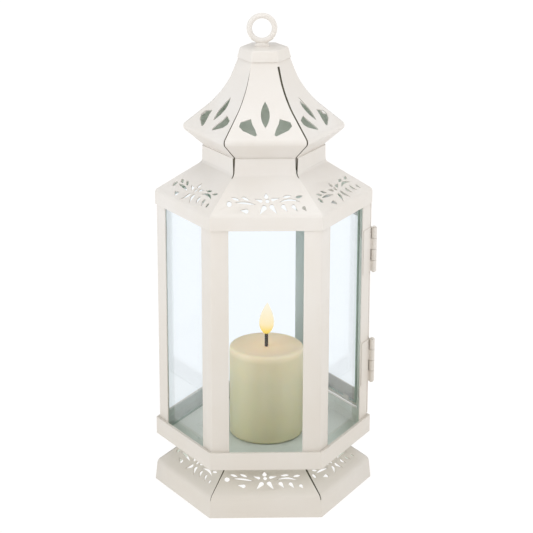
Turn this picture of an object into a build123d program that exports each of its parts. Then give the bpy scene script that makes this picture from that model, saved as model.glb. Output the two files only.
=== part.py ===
from build123d import *
import os
from math import atan2, cos, degrees, hypot, radians, sin, tan

# A hexagonal candle lantern of bent, pierced sheet metal with glass in its six sides.
# Millimetres, +Z up. The origin is the middle of the base, on the surface it stands on.
# Side 0 faces the front (-Y) and the sides run anticlockwise seen from above, so side 2,
# at the back right, holds the door. Outlines are pairs of (distance from the axis to the
# flat of a side, height), and a place on a side is (along, out, up).

# Sheet metal and the general layout
sheet = 0.6
sharp_bend = 0.9
side_names = ["front", "front_right", "back_right", "back", "back_left", "front_left"]
corner_names = ["front_right", "right", "back_right", "back_left", "left", "front_left"]
door_side = 2
side_step = 60.0
half_side = side_step / 2
first_side_angle = -90.0
reach = 120.0

# Posts: six angle strips that make the cage
post_flat = 47.1
post_leg = 8.8
post_height = 131.4

# Base: a flared skirt with a pierced slope and a neck that carries the floor
skirt_foot_flat = 49.4
skirt_flare = 1.0
skirt_band_height = 10.8
skirt_neck_flat = 35.8
skirt_slope_angle = 39.5
skirt_height = 26.2
skirt_flange = 3.0
skirt_bend = 4.0

# Floor pan and the hemmed rail round the posts' feet
rail_hem_gap = 0.4
rail_height = 9.2
rail_hem_depth = 4.2
pip_radius = 2.3
pip_top_radius = 1.38
pip_height = 0.8
pip_ring_radius = 33.0
pip_count = 12
pip_first_angle = 15.0

# Shoulder: the band over the posts' heads, the pierced slope and the neck
shoulder_band_height = 7.4
shoulder_overlap = 6.2
shoulder_slope_angle = 35.5
shoulder_bend = 2.5
neck_flat = 26.93
neck_height = 8.2

# Canopy: six petals from one blank, turned under at the eave and down inside the neck
canopy_gap = 0.05
canopy_eave_flat = 36.2
canopy_eave_round = 2.5
canopy_soffit_angle = 44.2
canopy_flange = 6.5
canopy_slope_angle = 43.0
canopy_knee_flat = 16.9
canopy_knee_round = 38.0
canopy_top_angle = 71.0
canopy_top_rise = 21.6
canopy_closed_top = 7.0

# Crown cap and hanging ring
cap_height = 5.4
cap_taper = 1.3
cap_bend = 0.9
cap_clearance = 0.1
ring_wire = 2.7
ring_outside = 15.2
ring_offset = -1.1
ring_braze = 1.6
ring_braze_length = 6.5

# Slits left between neighbouring petals, and the slope piercings
slit_narrow = 0.35
slit_wide = 0.7
slit_inner_radius = 1.0
skirt_slit_start = 9.4
motif_skirt_inset = 6.3
motif_skirt_drawn_flat = 42.1
motif_shoulder_inset = 5.0
motif_shoulder_along = 1.0
motif_shoulder_turn = 3.5
motif_shoulder_stretch = 1.35
motif_shoulder_drawn_flat = 44.4
canopy_drawn_flat = 36.2
hole_depth = 3.0

# Glass
glass = 1.6
pane_corner_gap = 1.9
pane_below_post_top = 3.4
door_pane_lap = 2.0
door_pane_clearance = 0.5

# Clips that hold the glass
clip_sheet = 0.5
clip_gap = 0.1
clip_lap = 2.2
clip_length = 5.0
clip_row_inset = 22.0

# Door
door_gap_below = 1.1
door_gap_above = 0.5
door_standoff = 0.2
door_rail_width = 10.0
door_pane_margin = 2.5
door_edge_gap = 0.9
door_clip_along = 10.0

# Hinges
hinge_tuck = 0.3
hinge_leaf = 0.5
barrel_radius = 1.4
pin_radius = 0.6
pin_clearance = 0.06
knuckle_length = 5.85
knuckle_gap = 0.2
knuckle_count = 4
hinge_leaf_width = 8.0
hinge_below_top = 24.4
hinge_above_bottom = 29.9
pin_head_radius = 0.95
pin_head_height = 0.5

# Turn button that keeps the door shut
button_length = 10.0
button_width = 3.6
button_thick = 0.6
button_standoff = 0.35
rivet_radius = 0.9
rivet_clearance = 0.06
rivet_head_radius = 1.7
rivet_head_height = 0.7

# Candle
candle_x = 1.5
candle_radius = 19.2
candle_height = 48.6
candle_rim_round = 1.2
wick_radius = 0.9
wick_sunk = 6.0
wick_height = 6.2

# Heights and flats that follow from the sizes above
floor_top = skirt_height + sheet
rail_top = skirt_height + rail_height
pan_rim_top = rail_top - rail_hem_depth
rail_flat = post_flat + rail_hem_gap + 2 * sheet
post_top = floor_top + post_height
shoulder_flat = post_flat + sheet
shoulder_low = post_top - shoulder_overlap
shoulder_bend_height = shoulder_low + shoulder_band_height
shoulder_neck_base = shoulder_bend_height + (shoulder_flat - neck_flat) * tan(radians(shoulder_slope_angle))
neck_top = shoulder_neck_base + neck_height
flange_flat = neck_flat - sheet
flange_bend_rise = sharp_bend * tan(radians(90 - canopy_soffit_angle) / 2)
flange_bend_height = neck_top + canopy_gap + flange_bend_rise
eave_height = flange_bend_height + (canopy_eave_flat - flange_flat) * tan(radians(canopy_soffit_angle))
knee_height = eave_height + (canopy_eave_flat - canopy_knee_flat) * tan(radians(canopy_slope_angle))
canopy_top = knee_height + canopy_top_rise
canopy_top_flat = canopy_knee_flat - canopy_top_rise / tan(radians(canopy_top_angle))
cap_top = canopy_top + sheet
cap_lip_height = cap_top - cap_height
canopy_at_lip = canopy_top_flat + (canopy_top - cap_lip_height) / tan(radians(canopy_top_angle))
cap_lip_flat = canopy_at_lip + sheet + cap_clearance
ring_radius = (ring_outside - ring_wire) / 2
ring_middle = cap_top + ring_braze + ring_outside / 2
motif_skirt_flat = skirt_foot_flat - skirt_flare - motif_skirt_inset
motif_shoulder_flat = shoulder_flat - motif_shoulder_inset
opening_half = post_flat * tan(radians(half_side)) - post_leg
pane_half_width = (post_flat - sheet - glass) * tan(radians(half_side)) - pane_corner_gap
door_low = rail_top + door_gap_below
door_high = shoulder_low - door_gap_above
door_back = post_flat + door_standoff
door_face = door_back + sheet
door_half = door_face * tan(radians(half_side)) - door_edge_gap
door_pane_half = opening_half - door_pane_clearance
door_stile_width = door_half - door_pane_half + door_pane_lap / 2
hinge_corner_radius = door_face / cos(radians(half_side)) + barrel_radius - hinge_tuck
hinge_upper_middle = door_high - hinge_below_top
hinge_lower_middle = door_low + hinge_above_bottom
button_height = (door_low + door_high) / 2
skirt_slope_top = skirt_band_height + (
    skirt_foot_flat - skirt_flare - skirt_neck_flat) * tan(radians(skirt_slope_angle))

# The floral piercing of the skirt and the shoulder. Places are (along the side, up the slope).
leaves = [  # along, up, length, width, turn, bow
    (-16.0, 4.4, 4.2, 1.2, -20, 0.0),
    (-11.0, 4.3, 4.4, 1.2, -25, 0.0),
    (10.0, 4.3, 4.7, 1.2, 6, 0.0),
    (16.0, 3.9, 4.0, 1.2, 10, 0.0),
    (-11.3, 1.9, 11.0, 0.9, -8, 0.35),
    (11.1, 1.4, 11.0, 0.9, -2, 1.3),
]
petals = [  # along, up, length, width, direction of the round end
    (-4.6, 3.3, 4.2, 1.6, -20),
    (-0.4, 5.1, 2.7, 2.2, -90),
    (4.2, 3.4, 4.6, 1.6, 190),
    (-12.3, -1.4, 4.3, 2.1, -12),
    (-3.0, -1.6, 5.4, 2.3, 49),
    (2.7, -1.5, 5.4, 2.3, 123),
    (8.3, -1.2, 4.2, 2.0, 125),
    (13.5, -1.5, 4.2, 1.8, 127),
    (18.3, -2.0, 2.6, 1.7, 125),
]
dots = [  # along, up, radius
    (-19.5, 2.2, 1.35),
    (-0.1, 2.6, 1.0),
]

# The canopy's piercing: one pointed oval between two tulips. Up is measured from the eave.
oval_middle = 16.6
oval_length = 14.9
oval_width = 4.4
tulip = [(7.0, 14.5), (12.1, 12.6), (12.9, 10.1), (11.2, 7.7), (5.1, 4.3), (4.2, 5.2), (5.0, 8.2), (6.5, 11.7)]


def side_angle(side):
    return first_side_angle + side_step * side


def on_side(side):
    """Local +X points out of the side and local +Y runs along it."""
    return Rot(0, 0, side_angle(side))


def flat_box(along, out, up):
    """A box on the side that faces +X, from (low, high) pairs."""
    size = (out[1] - out[0], along[1] - along[0], up[1] - up[0])
    middle = Pos((out[0] + out[1]) / 2, (along[0] + along[1]) / 2, (up[0] + up[1]) / 2)
    return middle * Box(*size)


def standing(outline):
    """Lays a drawing of (out, up) in the upright plane through the axis."""
    return Plane.XZ * outline


def wedge(low, high):
    """The sixth part of the space round the axis that faces +X."""
    spread = reach * tan(radians(half_side))
    return Pos(0, 0, low) * extrude(Polygon((0, 0), (reach, -spread), (reach, spread), align=None), high - low)


def petal_sheet(points, rounds):
    """One side of a bent sheet. The points run down its outer face."""
    line = FilletPolyline(*points, radius=rounds) if rounds else Polyline(*points)
    outline = make_face(offset(line, amount=sheet, side=Side.RIGHT))
    width = 2 * reach * tan(radians(half_side))
    return Pos(0, width / 2, 0) * extrude(standing(outline), width)


def six_sided(points, rounds, pierce=None):
    """A sheet bent round all six sides, with each side pierced alike."""
    low = min(up for flat, up in points)
    high = max(up for flat, up in points)
    side_piece = petal_sheet(points, rounds) & wedge(low, high)
    if pierce:
        side_piece -= pierce
    return Part() + [on_side(side) * side_piece for side in range(len(side_names))]


def slit(corner, width, radius, up):
    """A radial cut at one corner, from (low, high) pairs of radius and height."""
    cut = Pos((radius[0] + radius[1]) / 2, 0, (up[0] + up[1]) / 2)
    turn = Rot(0, 0, side_angle(corner) + half_side)
    return turn * cut * Box(radius[1] - radius[0], width, up[1] - up[0])


def leaf_hole(length, width, bow=0.0):
    end = length / 2
    above = ThreePointArc((-end, 0), (0, bow + width / 2), (end, 0))
    below = ThreePointArc((end, 0), (0, bow - width / 2), (-end, 0))
    return make_face(above + below)


def petal_hole(length, width):
    """Pointed at one end and round at the other, towards local +X."""
    end = length / 2
    round_at = end - width / 2
    tip = (-end, 0)
    cap = ThreePointArc((round_at, -width / 2), (end, 0), (round_at, width / 2))
    return make_face(Line(tip, cap @ 0) + cap + Line(cap @ 1, tip))


def stretched(turn, stretch):
    """The turn of a hole in a drawing stretched up the slope, and how it grows along and across itself."""
    up = sin(radians(turn)) * stretch
    longer = hypot(cos(radians(turn)), up)
    return degrees(atan2(up, cos(radians(turn)))), longer, stretch / longer


def floral_holes(stretch=1.0):
    """The 17 holes of the skirt and shoulder piercing, in the plane of the slope."""
    holes = []
    for along, up, length, width, turn, bow in leaves:
        angle, longer, wider = stretched(turn, stretch)
        hole = leaf_hole(length * longer, width * wider, bow * wider)
        holes.append(Pos(along, up * stretch) * Rot(0, 0, angle) * hole)
    for along, up, length, width, turn in petals:
        angle, longer, wider = stretched(turn, stretch)
        holes.append(Pos(along, up * stretch) * Rot(0, 0, angle) * petal_hole(length * longer, width * wider))
    for along, up, radius in dots:
        holes.append(Pos(along, up * stretch) * Circle(radius))
    return holes


def canopy_holes():
    holes = [Pos(0, oval_middle) * Rot(0, 0, 90) * leaf_hole(oval_length, oval_width)]
    for hand in (1, -1):
        corners = [(hand * along, up) for along, up in tulip]
        holes.append(make_face(Polyline(*corners, close=True)))
    return holes


def punches(holes, size, flat, up, angle):
    """Bars through a slope at (flat, up) that rises inwards at an angle."""
    slope = Plane(
        origin=(flat, 0, up),
        x_dir=(0, 1, 0),
        z_dir=(sin(radians(angle)), 0, cos(radians(angle))))
    return [extrude(slope * scale(hole, by=size), hole_depth, both=True) for hole in holes]


def base_skirt():
    low_flat = skirt_foot_flat - skirt_flare
    points = [
        (skirt_neck_flat - skirt_flange, skirt_height),
        (skirt_neck_flat, skirt_height),
        (skirt_neck_flat, skirt_slope_top),
        (low_flat, skirt_band_height),
        (skirt_foot_flat, 0),
    ]
    middle_up = skirt_band_height + (low_flat - motif_skirt_flat) * tan(radians(skirt_slope_angle))
    size = motif_skirt_flat / motif_skirt_drawn_flat
    holes = punches(floral_holes(), size, motif_skirt_flat, middle_up, skirt_slope_angle)
    skirt = six_sided(points, [sharp_bend, skirt_bend, skirt_bend], holes)
    return skirt - corner_slits((slit_inner_radius, reach), (skirt_slit_start, skirt_height + sheet))


def corner_slits(radius, up):
    """The front right corner gapes and the other five are nearly closed."""
    widths = [slit_wide if name == "front_right" else slit_narrow for name in corner_names]
    return [slit(corner, width, radius, up) for corner, width in enumerate(widths)]


def hexagon_prism(flat, low, high):
    shape = RegularPolygon(flat, len(side_names), major_radius=False)
    return Pos(0, 0, low) * extrude(shape, high - low)


def hexagon_ring(outer, inner, low, high):
    return hexagon_prism(outer, low, high) - hexagon_prism(inner, low, high)


def floor_pan():
    rim_flat = rail_flat - sheet
    pan = hexagon_prism(rim_flat, skirt_height, floor_top)
    pan += hexagon_ring(rim_flat, rim_flat - sheet, skirt_height, pan_rim_top)
    for pip in range(pip_count):
        turn = Rot(0, 0, pip_first_angle + pip * 360 / pip_count)
        dome = Cone(pip_radius, pip_top_radius, pip_height, align=(Align.CENTER, Align.CENTER, Align.MIN))
        pan += turn * Pos(pip_ring_radius, 0, floor_top) * dome
    return pan


def lower_rail():
    """A band with its top edge hemmed inwards against the posts."""
    inner = rail_flat - sheet
    hem = post_flat
    rail = hexagon_ring(rail_flat, inner, skirt_height, rail_top)
    rail += hexagon_ring(rail_flat, hem, rail_top - sheet, rail_top)
    rail += hexagon_ring(hem + sheet, hem, rail_top - rail_hem_depth, rail_top)
    return rail


def post(corner):
    leg = flat_box((-post_flat * tan(radians(half_side)), -opening_half), (post_flat - sheet, post_flat),
                   (floor_top, post_top))
    leg &= wedge(floor_top, post_top)
    other = leg.mirror(Plane.XZ)
    return on_side(corner + 1) * leg + on_side(corner) * other


def shoulder():
    points = [
        (neck_flat, neck_top),
        (neck_flat, shoulder_neck_base),
        (shoulder_flat, shoulder_bend_height),
        (shoulder_flat, shoulder_low),
    ]
    rise = (shoulder_flat - motif_shoulder_flat) * tan(radians(shoulder_slope_angle))
    size = motif_shoulder_flat / motif_shoulder_drawn_flat
    middle_up = shoulder_bend_height + rise
    place = Pos(motif_shoulder_along, 0) * Rot(0, 0, motif_shoulder_turn)
    drawing = [place * hole for hole in floral_holes(motif_shoulder_stretch)]
    holes = punches(drawing, size, motif_shoulder_flat, middle_up, shoulder_slope_angle)
    body = six_sided(points, [shoulder_bend, shoulder_bend], holes)
    neck_radius = neck_flat / cos(radians(half_side))
    slit_low = shoulder_neck_base - shoulder_bend / 2
    return body - corner_slits((slit_inner_radius, neck_radius + shoulder_bend), (slit_low, neck_top + sheet))


def canopy():
    points = [
        (canopy_top_flat, canopy_top),
        (canopy_knee_flat, knee_height),
        (canopy_eave_flat, eave_height),
        (flange_flat, flange_bend_height),
        (flange_flat, flange_bend_height - canopy_flange),
    ]
    size = canopy_eave_flat / canopy_drawn_flat
    holes = punches(canopy_holes(), size, canopy_eave_flat, eave_height, canopy_slope_angle)
    body = six_sided(points, [canopy_knee_round, canopy_eave_round, sharp_bend], holes)
    low = flange_bend_height - canopy_flange - sheet
    return body - corner_slits((slit_inner_radius, reach), (low, canopy_top - canopy_closed_top))


def crown_cap():
    points = [
        (0, cap_top),
        (cap_lip_flat - cap_taper, cap_top),
        (cap_lip_flat, cap_lip_height),
    ]
    return six_sided(points, [cap_bend])


def hanging_ring():
    """A wire ring that stands in a bead of braze on the cap."""
    ring = Pos(ring_offset, 0, ring_middle) * Rot(90, 0, 0) * Torus(ring_radius, ring_wire / 2)
    half_wire = ring_wire / 2
    half_bead = ring_braze_length / 2
    across = (ring_offset - half_bead, ring_offset + half_bead)
    bead = flat_box((-half_wire, half_wire), across, (cap_top, cap_top + ring_braze + half_wire))
    return ring + bead


def pane(half_width, back, low, high):
    return flat_box((-half_width, half_width), (back, back + glass), (low, high))


def fixed_pane(side):
    back = post_flat - sheet - glass
    return on_side(side) * pane(pane_half_width, back, floor_top, post_top - pane_below_post_top)


def pane_clips():
    """Bent tabs soldered inside the posts, two at each edge of each fixed pane."""
    face = post_flat - sheet
    fold_out = face - glass - clip_gap
    fold = (fold_out - clip_sheet, fold_out)
    edge = pane_half_width + clip_gap
    clips = []
    for side in range(len(side_names)):
        if side == door_side:
            continue
        for middle in (floor_top + clip_row_inset, post_top - clip_row_inset):
            rise = (middle - clip_length / 2, middle + clip_length / 2)
            tab = flat_box((edge, edge + clip_sheet), (fold[0], face), rise)
            tab += flat_box((edge - clip_lap, edge + clip_sheet), fold, rise)
            clips.append(on_side(side) * tab)
            clips.append(on_side(side) * tab.mirror(Plane.XZ))
    return Compound(children=clips)


def door_member(along, up):
    return on_side(door_side) * flat_box(along, (door_back, door_face), up)


def door_stile(hand):
    inner = door_half - door_stile_width
    return door_member(sorted((hand * inner, hand * door_half)), (door_low, door_high))


def door_rail(low):
    inner = door_half - door_stile_width
    return door_member((-inner, inner), (low, low + door_rail_width))


def door_pane_span():
    return (door_low + door_pane_margin, door_high - door_pane_margin)


def door_pane():
    low, high = door_pane_span()
    return on_side(door_side) * pane(door_pane_half, door_back - glass, low, high)


def door_pane_clips():
    """Bent tabs on the door's rails, over the top and bottom edges of its pane."""
    low, high = door_pane_span()
    fold_out = door_back - glass - clip_gap
    fold = (fold_out - clip_sheet, fold_out)
    clips = []
    for edge, hand in ((low - clip_gap, 1), (high + clip_gap, -1)):
        for middle in (-door_clip_along, door_clip_along):
            along = (middle - clip_length / 2, middle + clip_length / 2)
            riser = sorted((edge - hand * clip_sheet, edge))
            lap = sorted((edge - hand * clip_sheet, edge + hand * clip_lap))
            tab = flat_box(along, (fold[0], door_back), riser) + flat_box(along, fold, lap)
            clips.append(on_side(door_side) * tab)
    return Compound(children=clips)


def knuckles(middle, first, bore, web):
    """Every second knuckle of a hinge, counted down from the first, each on its web."""
    top = middle + knuckle_length * knuckle_count / 2
    barrels = Part()
    for knuckle in range(first, knuckle_count, 2):
        up = top - knuckle_length * knuckle - knuckle_length / 2
        length = knuckle_length - knuckle_gap
        barrels += Pos(hinge_corner_radius, 0, up) * Cylinder(barrel_radius, length)
        barrels += Pos(0, 0, up - length / 2) * extrude(web, length)
    return barrels - Pos(hinge_corner_radius, 0, middle) * Cylinder(bore, knuckle_length * knuckle_count)


def hinge_plate(seat, end, middle):
    """The flat of a leaf on the side that faces +X, from an end near the hinge towards +Y."""
    half_length = knuckle_length * knuckle_count / 2
    return flat_box((end, end + hinge_leaf_width), (seat, seat + hinge_leaf),
                    (middle - half_length, middle + half_length))


def hinge_leaf_door(middle):
    """Lies on the door and runs straight into its knuckles."""
    web_end = -hinge_corner_radius * sin(radians(half_side)) + hinge_leaf
    plate_end = -door_half + hinge_leaf / 2
    web_flat = Pos(door_face + hinge_leaf / 2, (web_end + plate_end) / 2)
    web = Rot(0, 0, side_angle(door_side)) * web_flat * Rectangle(hinge_leaf, plate_end - web_end)
    plate = on_side(door_side) * hinge_plate(door_face, plate_end, middle)
    return plate + knuckles(middle, 0, pin_radius + pin_clearance, web)


def hinge_leaf_fixed(middle):
    """Lies on the right post and bends out at the corner to its knuckles."""
    corner = post_flat / cos(radians(half_side))
    end = -post_flat * tan(radians(half_side)) + hinge_leaf / 2
    plate = on_side(door_side - 1) * hinge_plate(post_flat, end, middle).mirror(Plane.XZ)
    web = Pos((corner + hinge_corner_radius) / 2, -hinge_leaf / 2 - pin_clearance)
    web *= Rectangle(hinge_corner_radius - corner, hinge_leaf)
    return plate + knuckles(middle, 1, pin_radius, web)


def hinge_pin(middle):
    half_length = knuckle_length * knuckle_count / 2
    low = middle - half_length
    pin = Pos(hinge_corner_radius, 0, middle) * Cylinder(pin_radius, 2 * half_length)
    for up in (low - pin_head_height / 2, low + 2 * half_length + pin_head_height / 2):
        pin += Pos(hinge_corner_radius, 0, up) * Cylinder(pin_head_radius, pin_head_height)
    return pin


def button_place():
    """The rivet goes through the middle of the post's leg on the side behind the door."""
    along = -(post_flat * tan(radians(half_side)) - post_leg / 2)
    return on_side(door_side + 1) * Pos(post_flat, along, button_height) * Rot(0, 90, 0)


def latch_button():
    """A flat strip that hangs from its rivet, clear of the door."""
    end = button_length / 2 - button_width / 2
    strip = SlotCenterToCenter(2 * end, button_width) - Pos(-end, 0) * Circle(rivet_radius + rivet_clearance)
    return button_place() * Pos(end, 0, button_standoff) * extrude(strip, button_thick)


def latch_rivet():
    shank = button_standoff + button_thick + rivet_clearance
    base = (Align.CENTER, Align.CENTER, Align.MIN)
    rivet = Cylinder(rivet_radius, shank, align=base)
    rivet += Pos(0, 0, shank) * Cylinder(rivet_head_radius, rivet_head_height, align=base)
    return button_place() * rivet


def candle_wax():
    wax = Cylinder(candle_radius, candle_height, align=(Align.CENTER, Align.CENTER, Align.MIN))
    rim = wax.edges().filter_by(GeomType.CIRCLE).sort_by(Axis.Z)[-1]
    wax = fillet(rim, candle_rim_round)
    wax -= Pos(0, 0, candle_height) * Cylinder(wick_radius, 2 * wick_sunk)
    return Pos(candle_x, 0, floor_top) * wax


def candle_wick():
    low = floor_top + candle_height - wick_sunk
    base = (Align.CENTER, Align.CENTER, Align.MIN)
    return Pos(candle_x, 0, low) * Cylinder(wick_radius, wick_sunk + wick_height, align=base)


parts = {
    "base_skirt": base_skirt(),
    "floor_pan": floor_pan(),
    "lower_rail": lower_rail(),
    "shoulder": shoulder(),
    "canopy": canopy(),
    "crown_cap": crown_cap(),
    "hanging_ring": hanging_ring(),
    "pane_clips": pane_clips(),
    "door_hinge_stile": door_stile(-1),
    "door_latch_stile": door_stile(1),
    "door_bottom_rail": door_rail(door_low),
    "door_top_rail": door_rail(door_high - door_rail_width),
    "door_pane": door_pane(),
    "door_pane_clips": door_pane_clips(),
    "latch_button": latch_button(),
    "latch_rivet": latch_rivet(),
    "candle_wax": candle_wax(),
    "candle_wick": candle_wick(),
}
for corner, name in enumerate(corner_names):
    parts["post_" + name] = post(corner)
for side, name in enumerate(side_names):
    if side != door_side:
        parts["pane_" + name] = fixed_pane(side)
for name, middle in (("upper", hinge_upper_middle), ("lower", hinge_lower_middle)):
    parts["hinge_leaf_fixed_" + name] = hinge_leaf_fixed(middle)
    parts["hinge_leaf_door_" + name] = hinge_leaf_door(middle)
    parts["hinge_pin_" + name] = hinge_pin(middle)

os.makedirs("parts", exist_ok=True)
for name, solid in parts.items():
    solid.label = name
    export_step(solid, os.path.join("parts", name + ".step"))
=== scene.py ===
import math

import bmesh
import bpy
from mathutils import Matrix, Vector


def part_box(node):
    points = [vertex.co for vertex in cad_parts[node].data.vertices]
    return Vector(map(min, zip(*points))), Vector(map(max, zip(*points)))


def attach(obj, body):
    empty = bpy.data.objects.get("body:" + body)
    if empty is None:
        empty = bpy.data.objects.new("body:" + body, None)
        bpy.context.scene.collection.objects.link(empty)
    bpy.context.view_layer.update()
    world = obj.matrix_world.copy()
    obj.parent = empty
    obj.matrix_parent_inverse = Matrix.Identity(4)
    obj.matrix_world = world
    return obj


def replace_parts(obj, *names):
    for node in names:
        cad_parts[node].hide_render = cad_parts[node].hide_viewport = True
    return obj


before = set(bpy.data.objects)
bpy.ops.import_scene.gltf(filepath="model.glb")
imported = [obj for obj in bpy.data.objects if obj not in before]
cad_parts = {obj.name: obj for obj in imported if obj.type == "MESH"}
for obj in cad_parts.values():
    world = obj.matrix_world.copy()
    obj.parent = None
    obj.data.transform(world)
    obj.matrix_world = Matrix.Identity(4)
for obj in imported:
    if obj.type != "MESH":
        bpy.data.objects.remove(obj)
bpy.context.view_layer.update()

mm = 0.001
sixth = math.radians(60)
twelfth = math.radians(30)
sideNames = ["front", "front_right", "back_right", "back", "back_left", "front_left"]
cornerNames = ["front_right", "right", "back_right", "back_left", "left", "front_left"]
doorSide = 2


def sideTurn(side):
    # the turn about Z that takes a side made facing +X to its own place
    return sixth * side - math.radians(90)


def restAll():
    if bpy.context.object and bpy.context.object.mode != "OBJECT":
        bpy.ops.object.mode_set(mode="OBJECT")
    bpy.ops.object.select_all(action="DESELECT")


def take(piece):
    restAll()
    piece.select_set(True)
    bpy.context.view_layer.objects.active = piece


def begin(name):
    # names the primitive that was just added
    piece = bpy.context.object
    piece.name = name
    piece.data.name = name
    return piece


def settle(piece):
    # puts the piece's place into its mesh
    take(piece)
    bpy.ops.object.transform_apply(location=True, rotation=True, scale=True)
    return piece


def edit(piece):
    take(piece)
    bpy.ops.object.mode_set(mode="EDIT")


def choose(piece, kind, test):
    # in edit mode, selects the verts, edges or faces that pass the test
    bpy.ops.mesh.select_mode(type={"verts": "VERT", "edges": "EDGE", "faces": "FACE"}[kind])
    bpy.ops.mesh.select_all(action="DESELECT")
    shape = bmesh.from_edit_mesh(piece.data)
    found = [part for part in getattr(shape, kind) if test(part)]
    for part in found:
        part.select_set(True)
    shape.select_flush_mode()
    bmesh.update_edit_mesh(piece.data)


def chooseAll():
    bpy.ops.mesh.select_all(action="SELECT")


def faceOutwards():
    # in edit mode, turns every face of the mesh outwards
    chooseAll()
    bpy.ops.mesh.normals_make_consistent(inside=False)


def middleOf(part):
    if isinstance(part, bmesh.types.BMFace):
        return part.calc_center_median()
    return (part.verts[0].co + part.verts[1].co) / 2


def applied(piece, kind, **settings):
    take(piece)
    step = piece.modifiers.new(kind.title(), kind)
    for key, value in settings.items():
        setattr(step, key, value)
    bpy.ops.object.modifier_apply(modifier=step.name)


def softEdges(piece, width, steps, angle=35):
    applied(piece, "BEVEL", width=width, segments=steps, limit_method="ANGLE",
            angle_limit=math.radians(angle), use_clamp_overlap=True)
    smooth(piece)


def smooth(piece, angle=32):
    take(piece)
    bpy.ops.object.shade_smooth_by_angle(angle=math.radians(angle))


def turnedCopy(piece, name, angle):
    take(piece)
    bpy.ops.object.duplicate()
    copy = begin(name)
    copy.rotation_euler.z = angle
    return settle(copy)


def joined(pieces, name):
    take(pieces[0])
    for piece in pieces:
        piece.select_set(True)
    bpy.ops.object.join()
    return begin(name)


def mended(piece):
    # merges doubles and turns every face outwards
    edit(piece)
    chooseAll()
    bpy.ops.mesh.remove_doubles(threshold=0.002 * mm)
    faceOutwards()
    restAll()


def block(name, low, high, edge):
    # a plate between two corners, with its edges eased
    size = Vector(high) - Vector(low)
    bpy.ops.mesh.primitive_cube_add(size=1, location=(Vector(low) + Vector(high)) / 2)
    piece = begin(name)
    piece.scale = size
    settle(piece)
    softEdges(piece, edge, 1)
    return piece


def nodeCopy(node, name, edge):
    # a working copy of a small CAD part, merged and with its edges eased
    take(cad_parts[node])
    bpy.ops.object.duplicate()
    copy = begin(name)
    copy.parent = None
    for key in list(copy.keys()):
        del copy[key]
    copy.data.materials.clear()
    edit(copy)
    chooseAll()
    bpy.ops.mesh.remove_doubles(threshold=0.001 * mm)
    bpy.ops.mesh.dissolve_limited(angle_limit=math.radians(1))
    restAll()
    softEdges(copy, edge, 2, 40)
    return copy


class Socket:
    # wraps a node's output so that maths reads as maths
    def __init__(self, paint, socket):
        self.paint = paint
        self.socket = socket

    def maths(self, operation, *values):
        return self.paint.node("ShaderNodeMath", {"operation": operation}, dict(enumerate(values)))

    def __add__(self, other):
        return self.maths("ADD", self, other)

    def __radd__(self, other):
        return self.maths("ADD", other, self)

    def __sub__(self, other):
        return self.maths("SUBTRACT", self, other)

    def __rsub__(self, other):
        return self.maths("SUBTRACT", other, self)

    def __mul__(self, other):
        return self.maths("MULTIPLY", self, other)

    def __rmul__(self, other):
        return self.maths("MULTIPLY", other, self)


class Paint:
    # one material and the few ways that its nodes are made
    def __init__(self, name):
        self.material = bpy.data.materials.new(name)
        self.material.use_nodes = True
        self.tree = self.material.node_tree
        self.tree.nodes.clear()

    def node(self, kind, settings=None, values=None, out=0):
        made = self.tree.nodes.new(kind)
        for key, value in (settings or {}).items():
            if key == "stops":
                ramp = made.color_ramp
                while len(ramp.elements) < len(value):
                    ramp.elements.new(1.0)
                for stop, (place, colour) in zip(ramp.elements, value):
                    stop.position = place
                    stop.color = colour
            else:
                setattr(made, key, value)
        for key, value in (values or {}).items():
            if isinstance(value, Socket):
                self.tree.links.new(value.socket, made.inputs[key])
            else:
                made.inputs[key].default_value = value
        return Socket(self, made.outputs[out]) if made.outputs else None

    def spot(self):
        # object coordinates
        return self.node("ShaderNodeTexCoord", out=3)

    def height(self):
        return self.node("ShaderNodeSeparateXYZ", {}, {0: self.spot()}, out=2)

    def coordinates(self, size=(1, 1, 1)):
        return self.node("ShaderNodeMapping", {}, {0: self.spot(), 3: size})

    def noise(self, scale, detail=3.0, rough=0.5, where=None):
        where = where or self.coordinates()
        return self.node("ShaderNodeTexNoise", {}, {
            "Vector": where, "Scale": scale, "Detail": detail, "Roughness": rough})

    def range(self, value, low, high, newLow=0.0, newHigh=1.0):
        return self.node("ShaderNodeMapRange", {"clamp": True},
                         {0: value, 1: low, 2: high, 3: newLow, 4: newHigh})

    def mix(self, share, first, second):
        # colours, by a share from 0 to 1
        made = self.tree.nodes.new("ShaderNodeMix")
        made.data_type = "RGBA"
        for key, value in ((0, share), (6, first), (7, second)):
            if isinstance(value, Socket):
                self.tree.links.new(value.socket, made.inputs[key])
            else:
                made.inputs[key].default_value = value if key == 0 else (*value, 1)
        return Socket(self, made.outputs[2])

    def bump(self, height, strength, distance):
        return self.node("ShaderNodeBump", {}, {"Strength": strength, "Distance": distance, "Height": height})

    def finish(self, shader):
        self.node("ShaderNodeOutputMaterial", {}, {"Surface": shader})
        return self.material


paints = {}

creamPaint = {
    "body": (0.735, 0.69, 0.635),
    "thin": (0.765, 0.73, 0.69),
    "grimeAndFootShade": (0.50, 0.44, 0.35),
    "blotchSize": 28.0,
    "footShadeHeights": (170 * mm, 20 * mm),  # no painted shade from the first height up, fullest painted shade from the second down
    "footShade": 0.42,
    "speckSize": 1500.0,
    "specks": 0.18,
    "rough": (0.36, 0.52),
    "peelSize": 900.0,
    "peel": 0.12,
    "dentSize": 55.0,
    "dents": 1.6,
}


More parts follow.
